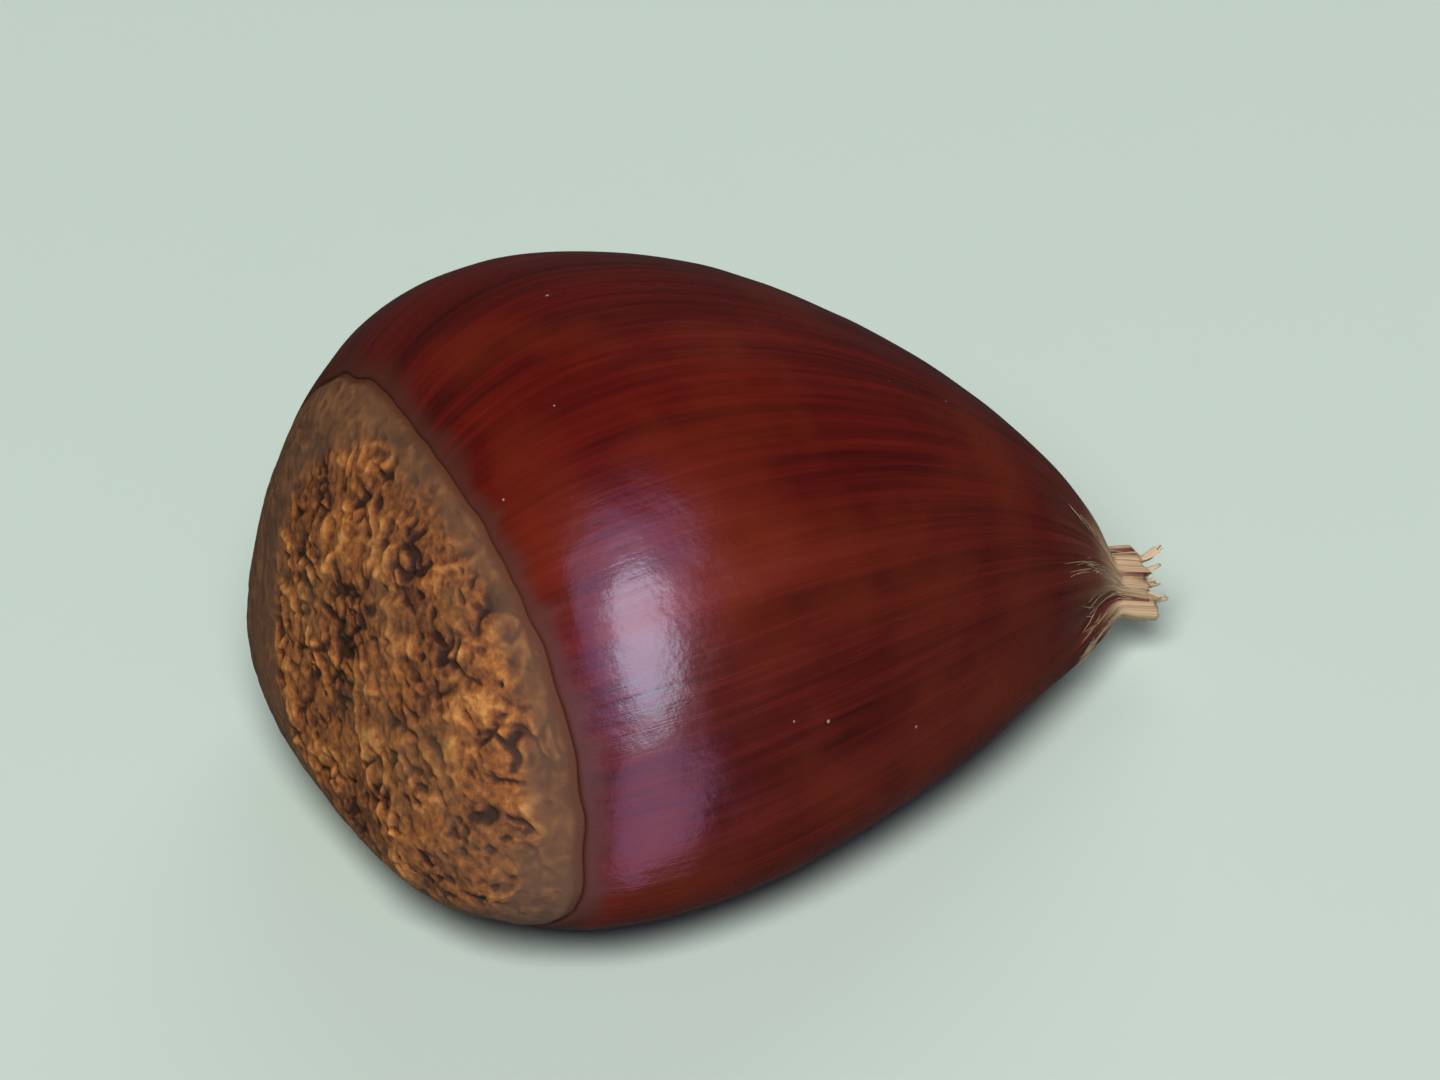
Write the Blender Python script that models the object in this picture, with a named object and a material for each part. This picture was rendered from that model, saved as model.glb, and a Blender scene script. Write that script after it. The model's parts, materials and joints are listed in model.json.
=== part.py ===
"""A sweet chestnut at real size, lying on its flatter side.

The rough scar at its base faces -X, and the tip with its dried styles points to +X. The origin is the
middle of the nut's bounding box, on the surface that it rests on.
"""

import math
import random

import bmesh
import bpy
from mathutils import Matrix, Vector, noise

MM = 0.001

# The body, measured along its axis from the middle of the scar, and across from its widest line
BODY_LENGTH = 32.8 * MM  # to where the sides would meet in a point
NUT_LENGTH = 33.9 * MM  # to the end of the neck
WIDTH = 29.0 * MM
BELLY_HEIGHT = 16.5 * MM  # of the round side, above the widest line
UNDER_DEPTH = 5.5 * MM  # of the flat side, below it
REST_LIFT = 0.24 * MM  # how much of the flat side the resting spot takes off

# How the body swells from the base and runs out at the tip: nearer to 0 is blunter
BASE_POWER = 0.285
SIDE_TAPER = 0.8
BELLY_TAPER = 0.62
UNDER_TAPER = 0.48
BELLY_ROUNDNESS = 2.15  # superellipse exponents of the cross-section, where 2 is a plain ellipse
UNDER_ROUNDNESS = 2.5
BASE_SLOPE = 0.17  # how far the base leans back for each unit of height
TIP_SIDEWAYS = -2.6 * MM  # how far the axis has bent across by its end
TIP_DROP = 2.2 * MM  # and how far down
TIP_DROP_POWER = 5  # a higher power bends it down nearer to the tip

# The neck at the tip
NECK_RADIUS = 1.15 * MM
NECK_BLEND = 2.5  # a lower power gives a softer hollow between the body and its neck
NECK_START = 18.0 * MM
NECK_FULL = 30.0 * MM
NECK_HOLLOW = 0.55 * MM  # depth of the dark cup between the styles
PLEATS = 7  # silky folds that run down from the styles onto the shell
PLEAT_DEPTH = 0.16 * MM
PLEAT_START = 27.5 * MM
PLEAT_FULL = 32.0 * MM

# The scar: how far up the body its margin lies, and its relief
SCAR_SIDE = 3.7 * MM
SCAR_BELLY = 2.6 * MM
SCAR_UNDER = 2.4 * MM
SCAR_SKEW = 1.2 * MM  # further on the side at -Y, and less at +Y
SCAR_RAISE = 0.15 * MM
SCAR_CELL = 1.9 * MM  # spacing of its granules
SCAR_CREASE = 0.6  # width of the creases between the granules, as a share of a cell
SCAR_RELIEF = 0.25 * MM
SCAR_LUMP = 5.0 * MM
SCAR_LUMP_HEIGHT = 0.25 * MM
SCAR_RIM = 0.86  # share of the scar's radius where its relief starts to fade

# Gentle dents and flutes of the shell
FLUTE_DEPTH = 0.25 * MM
FLUTES_AROUND = 1.5
FLUTE_LENGTH = 18.0 * MM

# The dried styles on the neck
STYLES = 7
STYLE_LENGTH = 0.8 * MM
STYLE_RADIUS = 0.38 * MM
STYLE_TIP = 0.3 * MM
STYLE_SIDES = 6
STYLE_RINGS = 5
STYLE_ROOT = 0.9 * MM  # how far it is sunk in the neck
STYLE_CIRCLE = 0.74  # where it leaves the neck, as a share of the neck's radius
STYLE_SPLAY = math.radians(6)
STYLE_CURL = math.radians(40)
STYLE_SEED = 11

# Faces: the scar is a grid, and the shell is rings drawn out from its edge
GRID = 16
RINGS = 24
MARGIN = 1.0  # where the scar ends on the unrolled nut, whose neck ends at twice that

SHELL_FINISH = ("glossy brown shell", "6B2418", 0.22)
SCAR_FINISH = ("rough base scar", "A07848", 0.9)
STYLE_FINISH = ("dried styles", "B59A72", 0.85)


def clear_scene():
    """Remove whatever the file holds."""
    for item in list(bpy.data.objects):
        bpy.data.objects.remove(item, do_unlink=True)


def linear(channel):
    """One sRGB channel, from 0 to 1, as the linear value that a shader takes."""
    return channel / 12.92 if channel <= 0.04045 else ((channel + 0.055) / 1.055) ** 2.4


def make_material(name, colour, roughness):
    """A Principled material from a name, a hex colour and a roughness."""
    material = bpy.data.materials.new(name)
    material.use_nodes = True
    shader = material.node_tree.nodes["Principled BSDF"]
    channels = [linear(int(colour[i : i + 2], 16) / 255) for i in (0, 2, 4)]
    shader.inputs["Base Color"].default_value = (*channels, 1.0)
    shader.inputs["Roughness"].default_value = roughness
    shader.inputs["Metallic"].default_value = 0.0
    return material


def smooth_step(low, high, value):
    """0 below low, 1 above high, and an even S between them."""
    share = min(max((value - low) / (high - low), 0.0), 1.0)
    return share * share * (3 - 2 * share)


def swell(share, taper):
    """Fullness of the body at a share of its length: 0 at both ends and 1 at its fullest."""
    if not 0 < share < 1:
        return 0.0
    peak = BASE_POWER / (BASE_POWER + taper)
    fullest = peak**BASE_POWER * (1 - peak) ** taper
    return share**BASE_POWER * (1 - share) ** taper / fullest


def half_size(station, full, taper):
    """Half size across the axis at a station, where the body runs out into the neck."""
    body = full * swell(station / BODY_LENGTH, taper)
    neck = NECK_RADIUS * smooth_step(NECK_START, NECK_FULL, station)
    return (body**NECK_BLEND + neck**NECK_BLEND) ** (1 / NECK_BLEND)


def power(value, exponent):
    """A power that keeps its sign."""
    return math.copysign(abs(value) ** exponent, value)


def axis_point(station):
    """Middle of the section at a station, on the axis that bends across and down towards the tip."""
    share = station / NUT_LENGTH
    return Vector((station, TIP_SIDEWAYS * share**2, -TIP_DROP * share**TIP_DROP_POWER))


def section_point(station, angle, raised=0.0):
    """Point of the D-shaped cross-section at a station, with angle 0 on the widest line at +Y."""
    across, up = math.cos(angle), math.sin(angle)
    if up >= 0:
        roundness, reach = BELLY_ROUNDNESS, half_size(station, BELLY_HEIGHT, BELLY_TAPER)
    else:
        roundness, reach = UNDER_ROUNDNESS, half_size(station, UNDER_DEPTH, UNDER_TAPER)
    half_width = half_size(station, WIDTH / 2, SIDE_TAPER)
    y = (half_width + raised) * power(across, 2 / roundness)
    z = (reach + raised) * power(up, 2 / roundness)
    lean = BASE_SLOPE * z * max(1 - station / BODY_LENGTH, 0) ** 2
    return axis_point(station) + Vector((lean, y, z))


def scar_margin(angle):
    """Station of the scar's margin, which runs further up the two sides than over the round side."""
    end = SCAR_BELLY if math.sin(angle) >= 0 else SCAR_UNDER
    side = SCAR_SIDE - SCAR_SKEW * math.cos(angle)
    return side * math.cos(angle) ** 2 + end * math.sin(angle) ** 2


def flutes(station, angle):
    """Height of the shell's gentle dents and flutes."""
    around = Vector((math.cos(angle), math.sin(angle), 0)) * FLUTES_AROUND
    return FLUTE_DEPTH * noise.noise(around + Vector((0, 0, station / FLUTE_LENGTH)))


def pleats(station, angle):
    """Height of the folds that run down from the styles."""
    return PLEAT_DEPTH * math.cos(PLEATS * angle) * smooth_step(PLEAT_START, PLEAT_FULL, station)


def granules(point):
    """Height of the scar's granules and creases at a point on it."""
    flat = Vector((point.y, point.z, 0))
    nearest, second = noise.voronoi(flat / SCAR_CELL)[0][:2]
    grain = SCAR_RELIEF * smooth_step(0, SCAR_CREASE, second - nearest)
    return grain + SCAR_LUMP_HEIGHT * noise.noise(flat / SCAR_LUMP)


def unrolled(u, v):
    """Distance from the middle, and angle, of a point of the square on which the nut is laid out flat."""
    quarter = math.pi / 4
    if u == 0 and v == 0:
        return 0.0, 0.0
    if abs(u) >= abs(v):
        angle = quarter * v / u + (math.pi if u < 0 else 0)
    else:
        angle = math.pi / 2 - quarter * u / v + (math.pi if v < 0 else 0)
    return max(abs(u), abs(v)), angle


def on_scar(distance, angle):
    """Place on the smooth scar of a distance from its middle, 0, to its margin, 1."""
    return section_point(scar_margin(angle) * distance ** (1 / BASE_POWER), angle)


def on_shell(distance, angle):
    """Place on the shell of a distance from the scar's margin, 0, to the end of the neck, 1."""
    eased = 0.4 * distance + 0.3 * (1 - math.cos(math.pi * distance))
    margin = scar_margin(angle)
    station = margin + (NUT_LENGTH - margin) * eased
    shell = smooth_step(0, 0.15, distance) * (1 - smooth_step(0.7, 1, distance))
    raised = flutes(station, angle) * shell + pleats(station, angle)
    return section_point(station, angle, raised)


def wrap(mesh):
    """Wrap the flat layout round the nut, and raise the scar's granules."""
    reach = {}
    for corner in mesh.verts:
        distance, angle = unrolled(corner.co.x, corner.co.y)
        if distance <= MARGIN:
            corner.co = on_scar(distance, angle)
            reach[corner] = distance
        else:
            corner.co = on_shell(distance - MARGIN, angle)
    bmesh.ops.recalc_face_normals(mesh, faces=mesh.faces)
    mesh.normal_update()
    lifted = {}
    for corner, distance in reach.items():
        fade = 1 - smooth_step(SCAR_RIM, 1, distance)
        lifted[corner] = fade * (SCAR_RAISE + granules(corner.co))
    for corner, height in lifted.items():
        corner.co += corner.normal * height


def edge_loop(mesh):
    """The open edges of a mesh."""
    return [edge for edge in mesh.edges if edge.is_boundary]


def lay_out(mesh):
    """Lay the nut out flat: the scar as a square grid, and the shell as square rings around it."""
    bmesh.ops.create_grid(mesh, x_segments=GRID, y_segments=GRID, size=MARGIN)
    for ring in range(RINGS):
        grown = bmesh.ops.extrude_edge_only(mesh, edges=edge_loop(mesh))["geom"]
        corners = [item for item in grown if isinstance(item, bmesh.types.BMVert)]
        growth = (RINGS + ring + 1) / (RINGS + ring)
        bmesh.ops.scale(mesh, vec=(growth, growth, 1), verts=corners)
    inner = MARGIN - 0.5 / GRID
    scar = [edge for edge in mesh.edges if all(max(map(abs, end.co.xy)) < inner for end in edge.verts)]
    bmesh.ops.subdivide_edges(mesh, edges=scar, cuts=1, use_grid_fill=True)


def close_neck(mesh):
    """Turn the end of the neck in to a shallow cup, and close it."""
    end = axis_point(NUT_LENGTH)
    for width, depth in ((0.8, -0.2 * NECK_RADIUS), (0.5, 0.0), (0.3, NECK_HOLLOW)):
        grown = bmesh.ops.extrude_edge_only(mesh, edges=edge_loop(mesh))["geom"]
        corners = [item for item in grown if isinstance(item, bmesh.types.BMVert)]
        spokes = [(corner.co - end) * Vector((0, 1, 1)) for corner in corners]
        rim = max(spoke.length for spoke in spokes)
        for corner, spoke in zip(corners, spokes):
            corner.co = end + spoke * width * NECK_RADIUS / rim - Vector((depth, 0, 0))
    bmesh.ops.holes_fill(mesh, edges=edge_loop(mesh), sides=0)


def cut_resting_spot(mesh):
    """Flatten the lowest part of the underside, under the nut's weight."""
    level = -UNDER_DEPTH + REST_LIFT
    geometry = list(mesh.verts) + list(mesh.edges) + list(mesh.faces)
    bmesh.ops.bisect_plane(
        mesh, geom=geometry, plane_co=(0, 0, level), plane_no=(0, 0, -1), clear_outer=True
    )
    bmesh.ops.holes_fill(mesh, edges=edge_loop(mesh), sides=0)


def make_nut():
    """Shell, scar and neck as one closed mesh object."""
    mesh = bmesh.new()
    lay_out(mesh)
    for face in mesh.faces:
        middle = face.calc_center_median()
        face.material_index = 1 if max(abs(middle.x), abs(middle.y)) < MARGIN else 0
    wrap(mesh)
    close_neck(mesh)
    cut_resting_spot(mesh)
    bmesh.ops.triangulate(mesh, faces=mesh.faces, quad_method="SHORT_EDGE")
    bmesh.ops.recalc_face_normals(mesh, faces=mesh.faces)
    data = bpy.data.meshes.new("chestnut")
    mesh.to_mesh(data)
    mesh.free()
    for finish in (SHELL_FINISH, SCAR_FINISH, STYLE_FINISH):
        data.materials.append(make_material(*finish))
    nut = bpy.data.objects.new("chestnut", data)
    bpy.context.scene.collection.objects.link(nut)
    return nut


def style_path(turn, length):
    """Places and directions along one style, from its root in the neck to its curled end."""
    outwards = Vector((0, math.cos(turn), math.sin(turn)))
    root = axis_point(NUT_LENGTH - STYLE_ROOT)
    along = (axis_point(NUT_LENGTH) - root).normalized()
    place = root + outwards * NECK_RADIUS * STYLE_CIRCLE
    step = (length + STYLE_ROOT) / (STYLE_RINGS - 1)
    path = []
    for ring in range(STYLE_RINGS):
        lean = STYLE_SPLAY + STYLE_CURL * (ring / (STYLE_RINGS - 1)) ** 2
        heading = along * math.cos(lean) + outwards * math.sin(lean)
        path.append((place.copy(), heading))
        place += heading * step
    return path


def make_style(number, draws):
    """One dried style, as a closed tapering stalk."""
    turn = 2 * math.pi * (number + draws.uniform(-0.25, 0.25)) / STYLES
    path = style_path(turn, STYLE_LENGTH * draws.uniform(0.5, 1.3))
    mesh = bmesh.new()
    rings = []
    for ring, (place, heading) in enumerate(path):
        radius = STYLE_RADIUS + (STYLE_TIP - STYLE_RADIUS) * ring / (STYLE_RINGS - 1)
        pose = Matrix.Translation(place) @ heading.to_track_quat("Z", "X").to_matrix().to_4x4()
        closed = ring in (0, STYLE_RINGS - 1)
        circle = bmesh.ops.create_circle(
            mesh, cap_ends=closed, segments=STYLE_SIDES, radius=radius, matrix=pose
        )
        rings.append(circle["verts"])
    for first, second in zip(rings, rings[1:]):
        ends = set(first), set(second)
        loops = [edge for edge in mesh.edges if any(set(edge.verts) <= end for end in ends)]
        bmesh.ops.bridge_loops(mesh, edges=loops)
    bmesh.ops.recalc_face_normals(mesh, faces=mesh.faces)
    for face in mesh.faces:
        face.material_index = 2
    data = bpy.data.meshes.new(f"style_{number}")
    mesh.to_mesh(data)
    mesh.free()
    return bpy.data.objects.new(data.name, data)


def join_styles(nut):
    """Grow the dried styles out of the neck, as one body with the nut."""
    tuft = bpy.data.collections.new("styles")
    bpy.context.scene.collection.children.link(tuft)
    draws = random.Random(STYLE_SEED)
    for number in range(STYLES):
        style = make_style(number, draws)
        for material in nut.data.materials:
            style.data.materials.append(material)
        tuft.objects.link(style)
    union = nut.modifiers.new("styles", "BOOLEAN")
    union.operation = "UNION"
    union.operand_type = "COLLECTION"
    union.collection = tuft
    with bpy.context.temp_override(object=nut, active_object=nut):
        bpy.ops.object.modifier_apply(modifier=union.name)
    for style in list(tuft.objects):
        bpy.data.objects.remove(style, do_unlink=True)
    bpy.data.collections.remove(tuft)


def set_origin(nut):
    """Move the mesh so that the origin is the middle of its box, at the bottom."""
    corners = [corner.co for corner in nut.data.vertices]
    low = [min(corner[axis] for corner in corners) for axis in range(3)]
    high = [max(corner[axis] for corner in corners) for axis in range(3)]
    bottom_middle = Vector(((low[0] + high[0]) / 2, (low[1] + high[1]) / 2, low[2]))
    nut.data.transform(Matrix.Translation(-bottom_middle))


def main():
    clear_scene()
    nut = make_nut()
    join_styles(nut)
    set_origin(nut)
    nut.data.shade_smooth()


main()
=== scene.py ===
"""Looks of a sweet chestnut that lies on its flatter side.

The glossy shell, the rough scar at its base, the silky neck at its tip and the dried styles on it are fine
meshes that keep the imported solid's form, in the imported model's own frame, in metres.
"""

import json
import logging
import math
import random
from collections.abc import Iterable, Iterator
from contextlib import contextmanager
from dataclasses import dataclass, field
from enum import Enum

import bpy
import numpy as np
from mathutils import Matrix, Vector, noise

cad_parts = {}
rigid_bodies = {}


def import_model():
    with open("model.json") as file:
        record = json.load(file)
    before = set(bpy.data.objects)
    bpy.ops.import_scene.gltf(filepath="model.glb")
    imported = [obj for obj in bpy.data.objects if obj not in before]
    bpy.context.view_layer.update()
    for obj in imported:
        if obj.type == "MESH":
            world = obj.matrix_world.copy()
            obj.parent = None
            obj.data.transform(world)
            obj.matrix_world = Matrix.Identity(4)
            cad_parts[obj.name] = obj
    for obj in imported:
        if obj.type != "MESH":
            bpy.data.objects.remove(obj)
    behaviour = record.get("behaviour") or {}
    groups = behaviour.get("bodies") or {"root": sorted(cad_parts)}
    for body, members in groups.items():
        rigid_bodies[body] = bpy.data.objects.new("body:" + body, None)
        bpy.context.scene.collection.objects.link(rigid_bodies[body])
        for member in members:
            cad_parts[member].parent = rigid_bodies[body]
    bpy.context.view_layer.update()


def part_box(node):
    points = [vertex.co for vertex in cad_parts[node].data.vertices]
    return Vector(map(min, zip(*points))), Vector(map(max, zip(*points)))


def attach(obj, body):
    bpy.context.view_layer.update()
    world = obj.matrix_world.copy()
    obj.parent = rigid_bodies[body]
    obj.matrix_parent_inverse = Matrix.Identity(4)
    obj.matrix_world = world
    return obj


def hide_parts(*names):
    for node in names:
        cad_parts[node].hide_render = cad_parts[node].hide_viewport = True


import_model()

MM = 0.001
NODE = "chestnut"
BODY = "root"

log = logging.getLogger("chestnut")


class Slot(Enum):
    """Material slots of the record."""

    SHELL = "shell"
    SCAR = "scar"
    TUFT = "tuft"


def smooth_step(low: float, high: float, value: np.ndarray) -> np.ndarray:
    """An even S from 0 at low to 1 at high."""
    share = np.clip((value - low) / (high - low), 0.0, 1.0)
    return share * share * (3 - 2 * share)


def signed_power(value: np.ndarray, exponent: np.ndarray) -> np.ndarray:
    """A power that keeps its sign."""
    return np.sign(value) * np.abs(value) ** exponent


def perlin(points: np.ndarray) -> np.ndarray:
    """Smooth noise at points, with about one bump a unit.

    Args:
        points: Coordinates, in an array whose last axis is 3 long.

    Returns:
        Values from about -1 to 1, in an array of the other axes.
    """
    flat = points.reshape(-1, 3).tolist()
    values = np.fromiter((noise.noise(point) for point in flat), float, len(flat))
    return values.reshape(points.shape[:-1])


def cell_gap(points: np.ndarray) -> np.ndarray:
    """How much nearer a point is to its own cell's middle than to the next one's: 0 on the creases between.

    Args:
        points: Coordinates, in an array whose last axis is 3 long, with about one cell a unit.

    Returns:
        The gaps, in an array of the other axes.
    """
    flat = points.reshape(-1, 3).tolist()
    gaps = np.empty(len(flat))
    for place, point in enumerate(flat):
        nearest, second = noise.voronoi(point)[0][:2]
        gaps[place] = second - nearest
    return gaps.reshape(points.shape[:-1])


def unit(vectors: np.ndarray) -> np.ndarray:
    """Vectors at length 1."""
    return vectors / np.maximum(np.linalg.norm(vectors, axis=-1, keepdims=True), 1e-12)


def linear_colour(code: str) -> tuple[float, float, float, float]:
    """A hex colour in sRGB as the linear colour that a shader takes.

    Args:
        code: The colour, such as "#C9D9CF".

    Returns:
        Its red, green and blue in linear light, and 1 for its alpha.
    """
    channels = [int(code[start : start + 2], 16) / 255 for start in (1, 3, 5)]
    light = [c / 12.92 if c <= 0.04045 else ((c + 0.055) / 1.055) ** 2.4 for c in channels]
    return (*light, 1.0)


def add_node(
    tree: bpy.types.NodeTree,
    kind: str,
    settings: dict[str | int, object] | None = None,
    links: dict[str | int, bpy.types.NodeSocket] | None = None,
) -> bpy.types.Node:
    """Add a shader node with its settings and links.

    Args:
        tree: The material's node tree.
        kind: Blender's name for the type of node.
        settings: Values by the name of a property, or by the name or number of an input. Colours are hex
            strings, "stops" holds a colour ramp's places and colours, and a socket is linked to its input.
        links: More sockets to link from, by the name or number of the input that each goes to.

    Returns:
        The new node.
    """
    node = tree.nodes.new(kind)
    for name, value in (settings or {}).items():
        if name == "stops":
            elements = node.color_ramp.elements
            for number, (place, colour) in enumerate(value):
                element = elements[number] if number < len(elements) else elements.new(place)
                element.position = place
                element.color = linear_colour(colour)
            continue
        if isinstance(value, str) and value.startswith("#"):
            value = linear_colour(value)
        if isinstance(value, bpy.types.NodeSocket):
            tree.links.new(value, node.inputs[name])
        elif isinstance(name, int) or name in node.inputs:
            node.inputs[name].default_value = value
        else:
            setattr(node, name, value)
    for name, socket in (links or {}).items():
        tree.links.new(socket, node.inputs[name])
    return node


def blank_material(name: str) -> tuple[bpy.types.Material, bpy.types.NodeTree, bpy.types.Node]:
    """Start a material.

    Args:
        name: Its name.

    Returns:
        The material, its node tree and its Principled shader.
    """
    material = bpy.data.materials.new(name)
    material.use_nodes = True
    tree = material.node_tree
    return material, tree, tree.nodes["Principled BSDF"]


def deselect_all() -> None:
    """Leave nothing selected or active."""
    for item in bpy.context.view_layer.objects:
        item.select_set(False)
    bpy.context.view_layer.objects.active = None


def activate(piece: bpy.types.Object) -> None:
    """Select one object alone.

    Args:
        piece: The object.
    """
    deselect_all()
    piece.select_set(True)
    bpy.context.view_layer.objects.active = piece


@contextmanager
def editing(piece: bpy.types.Object, corners: Iterable[int] | None = None) -> Iterator[None]:
    """Edit mode on one piece, with some of its corners selected, or all of them.

    Args:
        piece: The object to edit.
        corners: Numbers of the corners to select, or None for all.
    """
    activate(piece)
    mesh = piece.data
    if corners is not None:
        chosen = np.zeros(len(mesh.vertices), bool)
        chosen[list(corners)] = True
        mesh.polygons.foreach_set("select", np.zeros(len(mesh.polygons), bool))
        mesh.edges.foreach_set("select", np.zeros(len(mesh.edges), bool))
        mesh.vertices.foreach_set("select", chosen)
    bpy.ops.object.mode_set(mode="EDIT")
    bpy.ops.mesh.select_mode(type="VERT")
    if corners is None:
        bpy.ops.mesh.select_all(action="SELECT")
    yield
    bpy.ops.object.mode_set(mode="OBJECT")


def corner_places(piece: bpy.types.Object) -> np.ndarray:
    """Coordinates of a piece's corners.

    Args:
        piece: The object.

    Returns:
        A row of three for each corner.
    """
    places = np.empty(len(piece.data.vertices) * 3)
    piece.data.vertices.foreach_get("co", places)
    return places.reshape(-1, 3)


def move_corners(piece: bpy.types.Object, places: np.ndarray) -> None:
    """Put a piece's corners at new coordinates."""
    piece.data.vertices.foreach_set("co", places.ravel())
    piece.data.update()


def note(piece: bpy.types.Object, name: str, values: np.ndarray) -> None:
    """Keep a number or a vector with each corner of a piece, for its material to read.

    Args:
        piece: The object.
        name: The name that the material reads it by.
        values: One number, or one row of three, for each corner.
    """
    kind, key = ("FLOAT_VECTOR", "vector") if values.ndim > 1 else ("FLOAT", "value")
    attribute = piece.data.attributes.new(name, kind, "POINT")
    attribute.data.foreach_set(key, values.astype(np.float32).ravel())


def finish_piece(piece: bpy.types.Object, name: str, material: bpy.types.Material) -> None:
    """Name and dress a piece, and tell the frame what it stands for.

    Args:
        piece: The finished object, with its place in its mesh.
        name: Its name.
        material: What it is made of.
    """
    piece.name = name
    piece.data.name = name
    piece.data.materials.clear()
    piece.data.materials.append(material)
    piece.data.shade_smooth()
    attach(piece, BODY)
    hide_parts(NODE)
    log.info("%s: %d corners, %d faces", name, len(piece.data.vertices), len(piece.data.polygons))


@dataclass
class NutForm:
    """Smooth form of the nut: a station runs along its axis from the scar, and an angle runs round it."""

    body_length: float = 32.8 * MM
    nut_length: float = 33.9 * MM
    width: float = 29.0 * MM
    belly_height: float = 16.5 * MM
    under_depth: float = 5.5 * MM
    rest_lift: float = 0.24 * MM
    base_power: float = 0.285
    side_taper: float = 0.8
    belly_taper: float = 0.62
    under_taper: float = 0.48
    belly_roundness: float = 2.15
    under_roundness: float = 2.5
    base_slope: float = 0.17
    tip_sideways: float = -2.6 * MM
    tip_drop: float = 2.2 * MM
    tip_drop_power: float = 5.0
    neck_radius: float = 1.15 * MM
    neck_blend: float = 2.5
    neck_start: float = 18.0 * MM
    neck_full: float = 30.0 * MM
    pleat_count: int = 7
    pleat_depth: float = 0.16 * MM
    pleat_start: float = 27.5 * MM
    pleat_full: float = 32.0 * MM
    scar_side: float = 3.7 * MM
    scar_belly: float = 2.6 * MM
    scar_under: float = 2.4 * MM
    scar_skew: float = 1.2 * MM
    scar_stands_out: float = 0.17 * MM
    margin_wander: float = 0.09
    margin_waves: tuple[float, float] = (3.1, 9.0)
    flute_depth: float = 0.25 * MM
    flutes_around: float = 1.5
    flute_length: float = 18.0 * MM
    place: np.ndarray = field(default_factory=lambda: np.zeros(3))

    def settle(self, low: Vector) -> None:
        """Set where the middle of the scar lies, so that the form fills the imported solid.

        Args:
            low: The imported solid's lowest corner.
        """
        station = np.linspace(0.1, 0.7, 61) * self.body_length
        sides = [self.section(station, np.full(61, turn), self.flutes(station, np.full(61, turn)))
                 for turn in (0.0, math.pi)]
        middle = (sides[0][:, 1].max() + sides[1][:, 1].min()) / 2
        self.place = np.array([low.x + self.scar_stands_out, -middle, self.under_depth - self.rest_lift])

    def swell(self, share: np.ndarray, taper: float) -> np.ndarray:
        """Fullness of the body.

        Args:
            share: The share of the body's length.
            taper: How it runs out at the tip, where nearer to 0 is blunter.

        Returns:
            The fullness: 0 at both ends and 1 at its fullest.
        """
        peak = self.base_power / (self.base_power + taper)
        fullest = peak**self.base_power * (1 - peak) ** taper
        inside = np.clip(share, 0.0, 1.0)
        return inside**self.base_power * (1 - inside) ** taper / fullest

    def half_size(self, station: np.ndarray, full: float, taper: float) -> np.ndarray:
        """Half size across the axis, where the body runs out into the neck.

        Args:
            station: How far along the axis.
            full: Half size of the body at its fullest.
            taper: How the body runs out at the tip.

        Returns:
            The half size.
        """
        body = full * self.swell(station / self.body_length, taper)
        neck = self.neck_radius * smooth_step(self.neck_start, self.neck_full, station)
        return (body**self.neck_blend + neck**self.neck_blend) ** (1 / self.neck_blend)

    def axis(self, station: np.ndarray | float) -> np.ndarray:
        """Middles of the sections, on the axis that bends across and down towards the tip.

        Args:
            station: How far along the axis each is.

        Returns:
            Their coordinates in the frame.
        """
        share = np.asarray(station) / self.nut_length
        across, down = self.tip_sideways * share**2, self.tip_drop * share**self.tip_drop_power
        return np.stack([np.asarray(station), across, -down], axis=-1) + self.place

    def section(self, station: np.ndarray, angle: np.ndarray, raised: np.ndarray | float = 0.0) -> np.ndarray:
        """Points of the D-shaped cross-sections.

        Args:
            station: How far along the axis each is.
            angle: Where each is round it, with 0 on the widest line at +Y.
            raised: How far each stands out from the smooth form.

        Returns:
            Their coordinates in the frame.
        """
        across, up = np.cos(angle), np.sin(angle)
        belly = self.half_size(station, self.belly_height, self.belly_taper)
        under = self.half_size(station, self.under_depth, self.under_taper)
        roundness = np.where(up >= 0, self.belly_roundness, self.under_roundness)
        half_width = self.half_size(station, self.width / 2, self.side_taper)
        y = (half_width + raised) * signed_power(across, 2 / roundness)
        z = (np.where(up >= 0, belly, under) + raised) * signed_power(up, 2 / roundness)
        lean = self.base_slope * z * np.clip(1 - station / self.body_length, 0, None) ** 2
        return self.axis(station) + np.stack([lean, y, z], axis=-1)

    def scar_margin(self, angle: np.ndarray) -> np.ndarray:
        """Where the scar's margin lies, which runs further up the two sides than over the round side.

        Args:
            angle: The angles round the axis.

        Returns:
            Its station at each.
        """
        end = np.where(np.sin(angle) >= 0, self.scar_belly, self.scar_under)
        side = self.scar_side - self.scar_skew * np.cos(angle)
        smooth = side * np.cos(angle) ** 2 + end * np.sin(angle) ** 2
        round_it = np.stack([np.cos(angle), np.sin(angle), np.zeros_like(angle)], axis=-1)
        slow, quick = (perlin(round_it * often) for often in self.margin_waves)
        return smooth * (1 + self.margin_wander * (0.6 * slow + 0.4 * quick))

    def flutes(self, station: np.ndarray, angle: np.ndarray) -> np.ndarray:
        """Height of the shell's gentle dents and flutes.

        Args:
            station: How far along the axis each point is.
            angle: Where each is round it.

        Returns:
            How far each stands out.
        """
        around = np.stack([np.cos(angle), np.sin(angle)], axis=-1) * self.flutes_around
        along = (station / self.flute_length)[..., None]
        return self.flute_depth * perlin(np.concatenate([around, along], axis=-1))

    def pleats(self, station: np.ndarray, angle: np.ndarray) -> np.ndarray:
        """Height of the folds that run down from the styles, as a share of the deepest."""
        return np.cos(self.pleat_count * angle) * smooth_step(self.pleat_start, self.pleat_full, station)

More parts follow.
